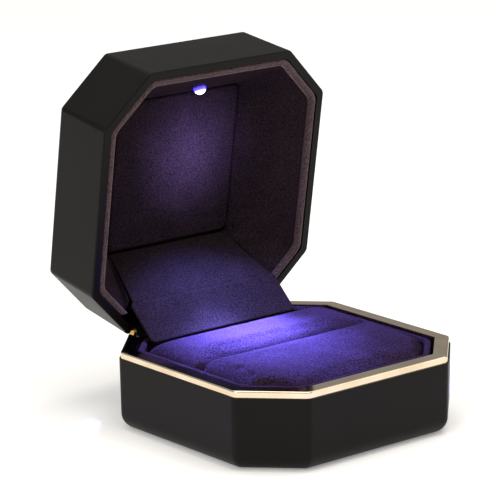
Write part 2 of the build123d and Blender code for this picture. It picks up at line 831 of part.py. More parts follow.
def make_switch():
    """The switch that the base presses when the lid shuts."""
    switch_y = board_rear_y + switch_depth / 2
    slot_top = switch_start + plunger_inside + plunger_travel + plunger_spare
    with BuildPart() as switch_body:
        with BuildSketch(lid_level(switch_start)):
            with Locations((switch_x, switch_y)):
                Rectangle(switch_width, switch_depth)
        extrude(amount=switch_height)
        with BuildSketch(lid_level(switch_start)):
            with Locations((switch_x, switch_y)):
                Rectangle(plunger_width + 2 * plunger_fit, plunger_depth + 2 * plunger_fit)
        extrude(amount=slot_top - switch_start, mode=Mode.SUBTRACT)
    save(switch_body, "switch_body")
    with BuildPart() as switch_plunger:
        with BuildSketch(lid_level(plunger_tip_z - rim_z)):
            with Locations((switch_x, switch_y)):
                Rectangle(plunger_width, plunger_depth)
        extrude(amount=switch_start + plunger_inside - plunger_tip_z + rim_z)
    save(switch_plunger, "switch_plunger")


make_base_shell()
make_trim_ring()
make_cushion_tray()
make_cushions()
make_hinge_bay_cover()
make_base_hinge_leaf()
make_lid_hinge_leaf()
make_hinge_pin()
make_hinge_spring()
make_screws("base_hinge_screws", base_screw_seats)
make_lid_shell()
make_screws("lid_hinge_screws", lid_screw_seats)
make_lid_lining()
make_ceiling_panel()
make_flap_upper_board()
make_flap_lower_board()
make_led()
make_led_holder()
make_leads()
make_battery_case()
make_cells()
make_battery_contacts()
make_circuit_board()
make_switch()
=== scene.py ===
import json
import math

import bmesh
import bpy
import numpy as np
from mathutils import Matrix, Vector


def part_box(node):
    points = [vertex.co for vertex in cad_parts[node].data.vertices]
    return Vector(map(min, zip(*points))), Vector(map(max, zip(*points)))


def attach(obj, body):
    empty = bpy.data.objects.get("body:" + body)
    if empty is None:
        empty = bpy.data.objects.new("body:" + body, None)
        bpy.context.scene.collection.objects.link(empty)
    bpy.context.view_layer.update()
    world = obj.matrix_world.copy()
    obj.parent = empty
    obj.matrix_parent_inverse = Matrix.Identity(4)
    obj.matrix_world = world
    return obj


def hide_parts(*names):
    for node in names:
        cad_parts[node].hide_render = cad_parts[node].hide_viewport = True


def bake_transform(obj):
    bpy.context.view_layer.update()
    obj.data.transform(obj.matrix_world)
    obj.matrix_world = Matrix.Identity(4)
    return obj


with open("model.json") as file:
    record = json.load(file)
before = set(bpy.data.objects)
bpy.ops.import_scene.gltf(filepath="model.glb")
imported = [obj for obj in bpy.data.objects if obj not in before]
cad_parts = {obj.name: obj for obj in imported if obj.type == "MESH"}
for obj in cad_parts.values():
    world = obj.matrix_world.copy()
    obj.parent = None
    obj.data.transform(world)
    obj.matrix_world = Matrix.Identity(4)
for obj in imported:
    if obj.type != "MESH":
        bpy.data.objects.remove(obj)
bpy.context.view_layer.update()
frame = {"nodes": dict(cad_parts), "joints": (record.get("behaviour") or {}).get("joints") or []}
nodes = frame["nodes"]
mm = 0.001
joints = {joint["name"]: joint for joint in frame["joints"]}
hingeY, hingeZ = joints["lid_hinge"]["pos_m"][1:]
openAngle = math.radians(max(joints["lid_hinge"]["range_deg"]))
creaseY, creaseZ = joints["flap_crease"]["pos_m"][1:]


# The lid's pieces are drawn shut and then swung open: a turn about the hinge line.
def swingOpen(points, angle=openAngle):
    points = np.array(points, float)
    c, s = math.cos(angle), math.sin(angle)
    dy, dz = points[..., 1] - hingeY, points[..., 2] - hingeZ
    points[..., 1] = hingeY + dy * c + dz * s
    points[..., 2] = hingeZ - dy * s + dz * c
    return points


def cadPoints(name):
    flat = np.zeros(len(nodes[name].data.vertices) * 3)
    nodes[name].data.vertices.foreach_get("co", flat)
    return flat.reshape(-1, 3)


# Lowest and highest corner of a lid node as it lies when the lid is shut.
def shutBox(name):
    points = swingOpen(cadPoints(name), -openAngle)
    return points.min(0), points.max(0)


ceilingLow, ceilingHigh = shutBox("ceiling_panel")
upperLow, upperHigh = shutBox("flap_upper_board")
lidLow, lidHigh = shutBox("lid_shell")
liningBack = shutBox("lid_lining")[1][1]
rimZ = lidLow[2]
halfX, halfY = lidHigh[0], (lidHigh[1] - lidLow[1]) / 2

# The lamp stands square to the front slope, so its axis comes from the slope.
lipFoot = 3.6 * mm
slopeRun = halfY - lipFoot + ceilingLow[1]
slopeDrop = ceilingLow[2] - rimZ
hingePoint = np.array([0, hingeY, hingeZ])
lampAxis = np.array([0, slopeDrop, -slopeRun]) / math.hypot(slopeDrop, slopeRun)
lampAxis = swingOpen(hingePoint + lampAxis) - hingePoint
ledPoints = cadPoints("led")
ledTip = ledPoints[(ledPoints @ lampAxis).argmax()]
ledTip[0] = 0


# Quads between the rows and columns of a grid, which may close on itself either way.
def gridFaces(rows, cols, closeRows=False, closeCols=False):
    r = np.arange(rows if closeRows else rows - 1)[:, None]
    c = np.arange(cols if closeCols else cols - 1)[None, :]
    nextR, nextC = (r + 1) % rows, (c + 1) % cols
    corners = (r * cols + c, r * cols + nextC, nextR * cols + nextC, nextR * cols + c)
    return np.stack(np.broadcast_arrays(*corners), -1).reshape(-1, 4).tolist()


# One object from points and faces, normals outwards, smooth, riding on a body.
def addPiece(name, points, faces, body, material):
    mesh = bpy.data.meshes.new(name)
    mesh.from_pydata(np.asarray(points).reshape(-1, 3).tolist(), [], faces)
    work = bmesh.new()
    work.from_mesh(mesh)
    bmesh.ops.remove_doubles(work, verts=work.verts, dist=1e-6)
    bmesh.ops.recalc_face_normals(work, faces=work.faces)
    for face in work.faces:
        face.smooth = True
    work.to_mesh(mesh)
    work.free()
    piece = bpy.data.objects.new(name, mesh)
    bpy.context.scene.collection.objects.link(piece)
    mesh.materials.append(material)
    if body:
        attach(piece, body)
    return piece


# Faces of a stack of closed rings, with a fan over the first and the last ring.
def ringFaces(rows, cols):
    faces = gridFaces(rows, cols, closeCols=True)
    first, last = rows * cols, rows * cols + 1
    for c in range(cols):
        n = (c + 1) % cols
        faces.append([first, n, c])
        faces.append([last, (rows - 1) * cols + c, (rows - 1) * cols + n])
    return faces


# The rings' points, then the two middles that the fans meet at.
def withPoles(rings):
    flat = rings.reshape(-1, 3)
    return np.concatenate([flat, rings[0].mean(0)[None], rings[-1].mean(0)[None]])


# Plan with its four corners cut at 45 degrees, starting at the left side's front end.
def eightCorners(halfX, front, back, frontLeg, backLeg):
    return np.array([
        (-halfX, front + frontLeg), (frontLeg - halfX, front),
        (halfX - frontLeg, front), (halfX, front + frontLeg),
        (halfX, back - backLeg), (halfX - backLeg, back),
        (backLeg - halfX, back), (-halfX, back - backLeg)])


# Points along a path of straight runs whose corners are rounded: every run gets
# perRun points, and every corner perCorner points of a quadratic curve.
def roundedPath(corners, radius, perRun, perCorner, closed):
    corners = np.asarray(corners, float)
    count = len(corners)
    u = np.linspace(0, 1, perCorner)[:, None]
    parts, starts, ends = [], [], []
    for i in range(count):
        here = corners[i]
        if not closed and i in (0, count - 1):
            parts.append(here[None])
        else:
            before, after = corners[i - 1], corners[(i + 1) % count]
            toBefore = (before - here) / np.linalg.norm(before - here)
            toAfter = (after - here) / np.linalg.norm(after - here)
            a, b = here + radius * toBefore, here + radius * toAfter
            parts.append((1 - u) ** 2 * a + 2 * u * (1 - u) * here + u ** 2 * b)
        starts.append(parts[-1][0])
        ends.append(parts[-1][-1])
    path = []
    for i in range(count):
        path.append(parts[i])
        if closed or i < count - 1:
            w = np.linspace(0, 1, perRun + 2)[1:-1, None]
            path.append(ends[i] * (1 - w) + starts[(i + 1) % count] * w)
    return np.concatenate(path)


# Unit normals of a plan path, to the right of the way along it.
def sideways(path, closed):
    if closed:
        along = np.roll(path, -1, 0) - np.roll(path, 1, 0)
    else:
        along = np.gradient(path, axis=0)
    along /= np.linalg.norm(along, axis=1)[:, None]
    return np.stack([along[:, 1], -along[:, 0]], 1)


# Mean of sines round one turn, each from its own seeded start and weaker as 1 over
# the root of its count.
def wobble(count, turns, seed):
    phase = np.linspace(0, 2 * math.pi, count)
    rng = np.random.default_rng(seed)
    return sum(np.sin(phase * k + rng.uniform(0, 6.28)) / k ** 0.5 for k in turns) / len(turns)


def linear(hexColour):
    channels = [int(hexColour[i:i + 2], 16) / 255 for i in (1, 3, 5)]
    return [c / 12.92 if c <= 0.04045 else ((c + 0.055) / 1.055) ** 2.4 for c in channels] + [1]


def startMaterial(name):
    material = bpy.data.materials.new(name)
    material.use_nodes = True
    tree = material.node_tree
    tree.nodes.clear()
    output = tree.nodes.new("ShaderNodeOutputMaterial")
    shader = tree.nodes.new("ShaderNodeBsdfPrincipled")
    tree.links.new(shader.outputs[0], output.inputs["Surface"])
    return material, tree, shader


# Adds a node, sets its values and links its inputs. Settings are attributes or sockets.
def addNode(tree, kind, settings=None, links=None):
    node = tree.nodes.new("ShaderNode" + kind)
    for key, value in (settings or {}).items():
        if isinstance(key, str) and hasattr(node, key):
            setattr(node, key, value)
        else:
            node.inputs[key].default_value = value
    for key, source in (links or {}).items():
        tree.links.new(source, node.inputs[key])
    return node


# Noise whose features are about size across.
def addNoise(tree, coords, size, detail, more=None):
    settings = {"Scale": 1 / size, "Detail": detail, **(more or {})}
    return addNode(tree, "TexNoise", settings, {"Vector": coords}).outputs[0]


def ramp(tree, source, stops):
    node = addNode(tree, "ValToRGB", links={0: source})
    elements = node.color_ramp.elements
    while len(elements) < len(stops):
        elements.new(0.5)
    for element, (place, colour) in zip(elements, stops):
        element.position = place
        element.color = linear(colour)
    return node.outputs["Color"]


# Roughness that runs from low to high over the middle of a noise's range.
def addGloss(tree, shader, source, low, high):
    settings = {"From Min": 0.3, "From Max": 0.7, "To Min": low, "To Max": high}
    gloss = addNode(tree, "MapRange", settings, {"Value": source})
    tree.links.new(gloss.outputs[0], shader.inputs["Roughness"])


def addBump(tree, shader, source, strength, distance):
    bump = addNode(tree, "Bump", {"Strength": strength, "Distance": distance}, {"Height": source})
    tree.links.new(bump.outputs[0], shader.inputs["Normal"])


def setShader(shader, values):
    for key, value in values.items():
        shader.inputs[key].default_value = value


# Velour: short pile on a knitted back. Tufts give a fine grain and painted shade: the colour
# is lighter on high tufts and darker between them, where the bump sinks. The nap leans in
# patches a few millimetres wide, and the pile's sides catch light at the rim.
velour = {"tuft": 0.34 * mm, "nap": 6.0 * mm, "bump": 0.16 * mm, "roughness": 0.9, "tufts": 0.88}


def makeVelour(name, dark, light, sheen, sheenTint, lift=1.0):
    material, tree, shader = startMaterial(name)
    coords = addNode(tree, "TexCoord").outputs["Object"]
    tufts = addNoise(tree, coords, velour["tuft"], 3.0, {"Roughness": 0.65})
    nap = addNoise(tree, coords, velour["nap"], 2.0, {"Distortion": 0.6})
    mixed = addNode(tree, "Mix", {"data_type": "FLOAT", 0: 1 - velour["tufts"]}, {2: tufts, 3: nap})
    # Painted shade: lighter on high tufts, darker between them, where the bump sinks.
    colour = ramp(tree, mixed.outputs[0], [(0.38, dark), (0.62, light)])
    tree.links.new(colour, shader.inputs["Base Color"])
    addBump(tree, shader, tufts, 1.0, velour["bump"] * lift)
    setShader(shader, {"Roughness": velour["roughness"], "Specular IOR Level": 0.0,
                       "Sheen Weight": sheen, "Sheen Roughness": 0.35,
                       "Sheen Tint": linear(sheenTint)})
    return material


# Moulded plastic, bare or coated: a broad dim highlight and a faint fine grain.
coated = {"drift": 18 * mm, "glossDrift": 0.04}


def makeCoated(name, dark, light, roughness, grain, grainDepth, coat=0.0, specular=0.5):
    material, tree, shader = startMaterial(name)
    coords = addNode(tree, "TexCoord").outputs["Object"]
    fine = addNoise(tree, coords, grain, 4.0)
    broad = addNoise(tree, coords, coated["drift"], 3.0)
    tree.links.new(ramp(tree, broad, [(0.3, dark), (0.7, light)]), shader.inputs["Base Color"])
    drift = coated["glossDrift"]
    addGloss(tree, shader, broad, roughness - drift, roughness + drift)
    addBump(tree, shader, fine, 0.25, grainDepth)
    setShader(shader, {"IOR": 1.5, "Specular IOR Level": specular, "Coat Weight": coat,
                       "Coat Roughness": 0.1})
    return material


# Metal: fine lines or grain in the gloss, a slight drift in its tone.
metal = {"drift": 9 * mm, "depth": 0.01 * mm, "brightest": 0.75, "dullest": 1.3}


def makeMetal(name, dark, light, roughness, grain, stretch=1.0):
    material, tree, shader = startMaterial(name)
    coords = addNode(tree, "TexCoord").outputs["Object"]
    lines = addNode(tree, "Mapping", {"Scale": (1.0, 1.0, stretch)}, {"Vector": coords})
    fine = addNoise(tree, lines.outputs[0], grain, 3.0)
    broad = addNoise(tree, coords, metal["drift"], 2.0)
    tree.links.new(ramp(tree, broad, [(0.3, dark), (0.7, light)]), shader.inputs["Base Color"])
    addGloss(tree, shader, fine, roughness * metal["brightest"], roughness * metal["dullest"])
    addBump(tree, shader, fine, 0.1, metal["depth"])
    setShader(shader, {"Metallic": 1.0})
    return material


# Lamp epoxy: clear domed resin lit from inside, white at the tip and violet round it.
lamp = {"grain": 0.5 * mm, "grainShare": 0.12, "strength": 8.0}


def makeLamp(name, tip, reach):
    material, tree, shader = startMaterial(name)
    coords = addNode(tree, "TexCoord").outputs["Object"]
    fromTip = addNode(tree, "VectorMath", {"operation": "DISTANCE", 1: tip}, {0: coords})
    grain = addNoise(tree, coords, lamp["grain"], 1.0)
    far = addNode(tree, "MapRange", {"From Max": reach}, {"Value": fromTip.outputs["Value"]})
    mixed = addNode(tree, "Mix", {"data_type": "FLOAT", 0: lamp["grainShare"]},
                    {2: far.outputs[0], 3: grain})
    stops = [(0.0, "#ffffff"), (0.4, "#d8d4ff"), (0.55, "#3a2cf0"), (0.75, "#05030f")]
    tree.links.new(ramp(tree, mixed.outputs[0], stops), shader.inputs["Emission Color"])
    setShader(shader, {"Base Color": linear("#2a2740"), "Emission Strength": lamp["strength"],
                       "Roughness": 0.12, "IOR": 1.52})
    return material


# Foam: open cells, matt and pale, with painted shade darker in the middle of each cell, where the
# bump sinks into a pore.
foam = {"cell": 0.6 * mm, "depth": 0.2 * mm}


def makeFoam(name):
    material, tree, shader = startMaterial(name)
    coords = addNode(tree, "TexCoord").outputs["Object"]
    cells = addNode(tree, "TexVoronoi", {"Scale": 1 / foam["cell"]}, {"Vector": coords}).outputs[0]
    # Painted shade in the pores: darker at each cell's middle, where the bump sinks.
    colour = ramp(tree, cells, [(0.1, "#8f8c86"), (0.7, "#d8d5cc")])
    tree.links.new(colour, shader.inputs["Base Color"])
    addBump(tree, shader, cells, 0.5, foam["depth"])
    setShader(shader, {"Roughness": 0.95})
    return material


liningVelour = makeVelour("aubergine lining velour", "#181215", "#33282d", 0.10, "#8a7480")
# The lip is the lining's own velour, copied and painted lighter than the lining as painted light
# for the light that the rim's roll catches.
lipVelourPaintedLight = makeVelour("aubergine lip velour painted lighter", "#35292c", "#625153", 0.7, "#e0cfc8")
cushionVelour = makeVelour("aubergine cushion velour", "#160f16", "#3c2c42", 0.16, "#8a76a0", 2.0)
softTouchBlack = makeCoated("soft touch black ABS", "#0c0a08", "#120f0c", 0.42, 0.25 * mm,
                            0.01 * mm, specular=0.115)
glossBlack = makeCoated("gloss black ABS", "#0c0c0c", "#131312", 0.16, 0.8 * mm, 0.01 * mm, 0.4)
champagnePlate = makeMetal("champagne gold plate", "#d9c6a8", "#eadac0", 0.09, 0.3 * mm)
springSteel = makeMetal("bright spring steel", "#8d8f92", "#b4b6b8", 0.28, 0.12 * mm, 8.0)
pinBrass = makeMetal("turned pin brass", "#c49a52", "#e0bd78", 0.22, 0.1 * mm, 5.0)
contactBrass = makeMetal("stamped contact brass", "#b98f45", "#d2ac66", 0.3, 0.15 * mm)
cellSteel = makeMetal("nickel plated cell steel", "#a5a6a4", "#c9cac7", 0.2, 0.1 * mm, 6.0)
lampEpoxy = makeLamp("lit lamp epoxy", tuple(ledTip), 3.0 * mm)
paleFoam = makeFoam("open cell foam")
boardLaminate = makeCoated("phenolic board laminate", "#6f4a24", "#8a6233", 0.5, 0.3 * mm,
                           0.02 * mm)
plungerPlastic = makeCoated("acetal plunger plastic", "#b9b7b0", "#d0cec6", 0.4, 0.3 * mm,
                            0.01 * mm)
redInsulation = makeCoated("red wire insulation", "#8f1717", "#a82020", 0.38, 0.3 * mm, 0.01 * mm)
blackInsulation = makeCoated("black wire insulation", "#101010", "#1a1a1a", 0.38, 0.3 * mm,
                             0.01 * mm)

finishes = {
    "base_shell": softTouchBlack, "lid_shell": softTouchBlack, "trim_ring": champagnePlate,
    "cushion_tray": liningVelour, "hinge_bay_cover": glossBlack, "base_hinge_leaf": springSteel,
    "hinge_pin": pinBrass, "hinge_spring": springSteel, "base_hinge_screws": springSteel,
    "lid_hinge_leaf": springSteel, "lid_hinge_screws": springSteel, "led": lampEpoxy,
    "led_holder": glossBlack, "lead_positive": redInsulation, "lead_negative": blackInsulation,
    "battery_case": glossBlack, "button_cells": cellSteel, "battery_contacts": contactBrass,
    "circuit_board": boardLaminate, "switch_body": glossBlack, "switch_plunger": plungerPlastic,
    "front_cushion_foam": paleFoam, "rear_cushion_foam": paleFoam,
    "front_cushion_cover": cushionVelour, "rear_cushion_cover": cushionVelour,
    "lid_lining": liningVelour, "ceiling_panel": liningVelour,
    "flap_upper_board": liningVelour, "flap_lower_board": liningVelour}
for name, finish in finishes.items():
    nodes[name].data.materials.clear()
    nodes[name].data.materials.append(finish)
print("materials on", len(finishes), "nodes")


cushions = {"perRun": 14, "perCorner": 6, "round": 0.4 * mm, "shrink": 0.25 * mm,
            "sideRings": 9, "topRings": 22, "tuck": 0.9 * mm, "acrossPower": 16, "rimPower": 36,
            "grow": 10.0, "voxel": 7 * mm, "pressure": 4.0, "frames": 20, "travel": 0.5 * mm}


# Block inside a plan: rings climb the side, then draw in to the middle of the top.
# Height over the top is edge + rise * sqrt(1 - u^p) * sqrt(1 - |x|^16) * (1 - s^36). u runs
# from 0 at the crest to 1 at the front or the back, and p differs each way. x runs from
# -1 to 1 across, and s from 1 at the rim to 0 in the middle.
def cushionPoints(plan, floorZ, edgeZ, crownZ, crest, powers):
    middle = (plan.max(0) + plan.min(0)) / 2
    half = (plan.max(0) - plan.min(0)) / 2
    sides = np.linspace(0, 1, cushions["sideRings"])
    tops = np.cos(np.linspace(0, math.pi / 2, cushions["topRings"]))[1:]
    rings = []
    for t in sides:
        tuck = cushions["tuck"] * (1 - min(1, 4 * t)) ** 2
        flat = middle + (plan - middle) * (1 - tuck / half.min())
        rings.append(np.column_stack([flat, np.full(len(flat), floorZ + (edgeZ - floorZ) * t)]))
    for s in tops:
        flat = middle + (plan - middle) * s
        x, y = ((flat - middle) / half).T
        u = np.where(y < crest, (crest - y) / (1 + crest), (y - crest) / (1 - crest))
        along = 1 - u ** np.where(y < crest, *powers)
        across = 1 - np.abs(x) ** cushions["acrossPower"]
        rise = np.sqrt(np.maximum(0, along) * np.maximum(0, across))
        z = edgeZ + (crownZ - edgeZ) * rise * (1 - s ** cushions["rimPower"])
        rings.append(np.column_stack([flat, z]))
    return np.array(rings)


# Blows a closed form up a little with cloth under pressure, worked at ten times the
# size, and limits how far each point may travel and the room that it may fill.
def inflate(points, faces, low, high):
    grow = cushions["grow"]
    mesh = bpy.data.meshes.new("form")
    mesh.from_pydata((points * grow).tolist(), [], faces)
    form = bpy.data.objects.new("form", mesh)
    bpy.context.scene.collection.objects.link(form)
    remesh = form.modifiers.new("voxels", "REMESH")
    remesh.mode = "VOXEL"
    remesh.voxel_size = cushions["voxel"]
    graph = bpy.context.evaluated_depsgraph_get()
    even = bpy.data.meshes.new_from_object(form.evaluated_get(graph))
    bpy.data.objects.remove(form)
    start = np.zeros(len(even.vertices) * 3)
    even.vertices.foreach_get("co", start)
    start = start.reshape(-1, 3)
    end = start
    pad = bpy.data.objects.new("pad", even)
    bpy.context.scene.collection.objects.link(pad)
    cloth = pad.modifiers.new("cloth", "CLOTH")
    cloth.settings.use_pressure = True
    cloth.settings.uniform_pressure_force = cushions["pressure"]
    cloth.settings.effector_weights.gravity = 0
    cloth.settings.tension_stiffness = 25
    cloth.settings.compression_stiffness = 25
    cloth.settings.shear_stiffness = 10
    cloth.settings.bending_stiffness = 1.0
    cloth.settings.mass = 0.3
    cloth.point_cache.frame_start = 1
    cloth.point_cache.frame_end = cushions["frames"]
    for step in range(1, cushions["frames"] + 1):
        bpy.context.scene.frame_set(step)
    graph = bpy.context.evaluated_depsgraph_get()
    blown = pad.evaluated_get(graph).to_mesh()
    end = np.zeros(len(blown.vertices) * 3)
    blown.vertices.foreach_get("co", end)
    end = end.reshape(-1, 3)
    pad.evaluated_get(graph).to_mesh_clear()
    bpy.data.objects.remove(pad)
    bpy.context.scene.frame_set(1)
    start, end = start / grow, end / grow
    travel = end - start
    length = np.linalg.norm(travel, axis=1)[:, None] + 1e-12
    end = start + travel * np.minimum(1, cushions["travel"] / length)
    quads = [list(p.vertices) for p in even.polygons]
    return np.clip(end, low, high), quads


# One cushion from its cover's box and its form. Gaps and legs shape the plan, edge lies
# under the cover's top and crown over it, and the rooms limit what the cloth may fill.
def addCushion(name, cadNodes, low, high, form):
    corners = eightCorners(high.x - cushions["shrink"], low.y + form["frontGap"],
                           high.y - form["backGap"], form["frontLeg"], form["backLeg"])
    plan = roundedPath(corners, cushions["round"], cushions["perRun"], cushions["perCorner"], True)
    rings = cushionPoints(plan, low.z, high.z - form["edge"], high.z + form["crown"],
                          form["crest"], form["powers"])
    roomLow = (low.x, low.y + form["frontRoom"], low.z)
    roomHigh = (high.x, high.y - form["backRoom"], high.z + form["topRoom"])
    points, quads = inflate(withPoles(rings), ringFaces(*rings.shape[:2]), roomLow, roomHigh)
    piece = addPiece(name, points, quads, "base", cushionVelour)
    soften = piece.modifiers.new("soften", "SMOOTH")
    soften.factor, soften.iterations = 0.5, 2
    smooth = piece.modifiers.new("subdivision", "SUBSURF")
    smooth.levels = smooth.render_levels = 1
    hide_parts(*cadNodes)
    print(name, len(quads), "quads")


frontForm = {"frontGap": 0.25 * mm, "backGap": 0.5 * mm, "frontLeg": 8.5 * mm, "backLeg": 0.9 * mm,
             "edge": 3.0 * mm, "crown": 0.8 * mm, "crest": 0.8, "powers": (2.3, 6.0),
             "frontRoom": 0.0, "backRoom": 0.2 * mm, "topRoom": 0.9 * mm}
rearForm = {"frontGap": 0.5 * mm, "backGap": 1.0 * mm, "frontLeg": 0.9 * mm, "backLeg": 1.5 * mm,
            "edge": 2.6 * mm, "crown": 0.9 * mm, "crest": 0.0, "powers": (4.5, 2.4),
            "frontRoom": 0.2 * mm, "backRoom": 0.0, "topRoom": 1.1 * mm}
trayLow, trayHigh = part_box("cushion_tray")
frontLow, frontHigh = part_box("front_cushion_cover")
rearLow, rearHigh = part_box("rear_cushion_cover")
addCushion("frontCushion", ["front_cushion_cover", "front_cushion_foam"], frontLow, frontHigh,
           frontForm)
addCushion("rearCushion", ["rear_cushion_cover", "rear_cushion_foam"], rearLow, rearHigh, rearForm)


piping = {"radius": 0.78 * mm, "inset": 0.62 * mm, "drop": 0.62 * mm, "round": 1.7 * mm,
          "frontLeg": 8.94 * mm, "backLeg": 6.94 * mm, "perRun": 26, "perCorner": 7, "around": 14,
          "wobble": 0.035 * mm, "turns": (9, 17, 31, 47), "seed": 3,
          "backStart": 24.0 * mm, "backRun": 1.0 * mm, "backThin": 0.5, "backDrop": 0.15 * mm}

# A round roll along the tray's rim: circle of radius r + wobble about a plan path. It
# thins and drops at the back, where the shut flap passes over it.
trayPlan = roundedPath(
    eightCorners(trayHigh.x - piping["inset"], trayLow.y + piping["inset"],
                 trayHigh.y - piping["inset"], piping["frontLeg"], piping["backLeg"]),
    piping["round"], piping["perRun"], piping["perCorner"], True)
outward = sideways(trayPlan, True)
phi = np.linspace(0, 2 * math.pi, piping["around"], endpoint=False)
waves = wobble(len(trayPlan), piping["turns"], piping["seed"])
atBack = np.clip((trayPlan[:, 1] - piping["backStart"]) / piping["backRun"], 0, 1)
radius = (piping["radius"] + piping["wobble"] * waves) * (1 - piping["backThin"] * atBack)
rollMiddle = trayHigh.z - piping["drop"] - piping["backDrop"] * atBack
rollXy = trayPlan[:, None] + outward[:, None] * (radius[:, None] * np.cos(phi))[..., None]
rollZ = rollMiddle[:, None] + radius[:, None] * np.sin(phi)
roll = np.concatenate([rollXy, rollZ[..., None]], -1)
rollFaces = gridFaces(*roll.shape[:2], closeRows=True, closeCols=True)
trayPiping = addPiece("trayPiping", roll, rollFaces, "base", cushionVelour)
print("tray piping", roll.shape)


lining = {"leg": 12 * mm, "round": 1.5 * mm, "perRun": 16, "perCorner": 6,
          "lipOuter": 2.15 * mm, "lipWidth": 1.45 * mm, "lipTop": 0.1 * mm, "tuck": 1.75 * mm,
          "lipSteps": 11, "swell": 0.02 * mm, "swellDepth": 1.7, "turnIn": 0.12 * mm,
          "footDepth": 1.2 * mm, "footTail": (21.05 * mm, 24.0 * mm),
          "deepDepth": 0.9 * mm, "deepTail": (17.4 * mm, 18.0 * mm), "deepLeg": 0.5 * mm,
          "deepRound": 0.35 * mm, "backOut": 0.1 * mm, "backPast": 0.6 * mm, "gap": 0.1 * mm,
          "slopeRows": 16, "bulge": 0.35 * mm, "thick": 0.25 * mm}

# What a leg of a plan loses for each unit that the plan moves in.
shortening = 2 - math.sqrt(2)


# The box's plan moved in by inset, as an open U from one lip end round to the other.
# A tail carries the slopes on from each end to the flap's sides.
def lipPath(inset, tail=None):
    leg = lining["leg"] - inset * shortening
    full = eightCorners(halfX - inset, inset - halfY, halfY - inset, leg, leg)
    endX = full[5][0] + (full[5][1] - liningBack)
    corners = [(-endX, liningBack), full[7], *full[:5], (endX, liningBack)]
    if tail:
        corners = [(-tail[0], tail[1])] + corners + [tail]
    return roundedPath(corners, lining["round"], lining["perRun"], lining["perCorner"], False)


# The slopes' deep edge: round the ceiling board, with as many corners as the lip's path.
def deepPath(gap):
    x, front, back = ceilingHigh[0] + gap, ceilingLow[1] - gap, ceilingHigh[1] + gap
    leg, tail = lining["deepLeg"], lining["deepTail"]
    backX, backY = x + lining["backOut"], back + lining["backPast"]
    corners = [(-tail[0], tail[1]), (-backX, backY), (-x, back - leg), (-x, front + leg),
               (leg - x, front), (x - leg, front), (x, front + leg), (x, back - leg),
               (backX, backY), tail]
    return roundedPath(corners, lining["deepRound"], lining["perRun"], lining["perCorner"], False)


# Plan points with one height for all of them.
def atHeight(xy, z):
    return np.column_stack([xy, np.full(len(xy), z)])


# Lip: up the shell's wall, over a half round and down to a tuck. Slope: a straight
# blend from the lip's foot to the ceiling board's edge, plus bulge * sin(pi * t), where
# t runs from 0 at the foot to 1 at the edge.
lipInner = lining["lipOuter"] + lining["lipWidth"]
r = lining["lipWidth"] / 2
rows = [(lining["lipOuter"], lining["tuck"])]
for turn in np.linspace(0, math.pi, lining["lipSteps"]):
    rows.append((lining["lipOuter"] + r - r * math.cos(turn),
                 lining["lipTop"] + r - r * math.sin(turn)))
rows.append((lipInner + lining["swell"], lining["lipTop"] + lining["swellDepth"] * r))
rows.append((lipInner - lining["turnIn"], lining["tuck"]))
lipRows = np.array([atHeight(lipPath(inset), rimZ + depth) for inset, depth in rows])
footXy = lipPath(lipFoot - lining["gap"], lining["footTail"])
foot = atHeight(footXy, rimZ + lining["footDepth"])
deep = atHeight(deepPath(lining["gap"]), ceilingLow[2] + lining["deepDepth"])
inward = -atHeight(sideways(footXy, False), 0)
centre = np.array([0, 0, rimZ])
inward *= np.sign(((centre - foot) * inward).sum(1))[:, None]
slopes = []
for t in np.linspace(0, 1, lining["slopeRows"]):
    slopes.append(foot * (1 - t) + deep * t + inward * lining["bulge"] * math.sin(math.pi * t))
lipSheet = swingOpen(lipRows)
# The lip wears the lining's velour painted lighter, as painted light at the rim.
liningLip = addPiece("liningLip", lipSheet, gridFaces(*lipSheet.shape[:2]), "lid",
                     lipVelourPaintedLight)
slopeSheet = swingOpen(np.array(slopes))
liningSlopes = addPiece("liningSlopes", slopeSheet, gridFaces(*slopeSheet.shape[:2]), "lid",
                        liningVelour)
for piece in (liningLip, liningSlopes):
    wall = piece.modifiers.new("wadding", "SOLIDIFY")
    wall.thickness, wall.offset = lining["thick"], 0
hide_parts("lid_lining")
print("lid lining", lipSheet.shape, slopeSheet.shape)


ceiling = {"leg": 1.0 * mm, "round": 0.3 * mm, "perRun": 14, "perCorner": 5, "edge": 0.8 * mm,
           "edgeRings": 8, "crown": 0.35 * mm, "crownRings": 16}

# Board: a straight side, a quarter round at its edge, then a crown that stands out by
# crown * (1 - s^2), where s runs from 1 at the edge to 0 in the middle.
plan = roundedPath(
    eightCorners(ceilingHigh[0], ceilingLow[1], ceilingHigh[1], ceiling["leg"], ceiling["leg"]),
    ceiling["round"], ceiling["perRun"], ceiling["perCorner"], True)
middle = (plan.max(0) + plan.min(0)) / 2
half = (plan.max(0) - plan.min(0)) / 2
sideHeight = ceilingHigh[2] - ceilingLow[2] - ceiling["edge"]
boardRings = []
for t in np.linspace(0, 1, ceiling["edgeRings"]):
    turn = t * math.pi / 2
    flat = middle + (plan - middle) * (1 - ceiling["edge"] * (1 - math.cos(turn)) / half.min())
    side = min(1, t * ceiling["edgeRings"])
    z = ceilingHigh[2] - sideHeight * side - ceiling["edge"] * math.sin(turn)
    boardRings.append(atHeight(flat, z))
last = boardRings[-1][:, :2]
for s in np.linspace(0.96, 0.02, ceiling["crownRings"]):
    z = ceilingLow[2] - ceiling["crown"] * (1 - s ** 2)
    boardRings.append(atHeight(middle + (last - middle) * s, z))
boardRings = swingOpen(np.array(boardRings))
ceilingBoard = addPiece("ceilingBoard", withPoles(boardRings), ringFaces(*boardRings.shape[:2]),
                        "lid", liningVelour)
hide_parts("ceiling_panel")
print("ceiling board", boardRings.shape)


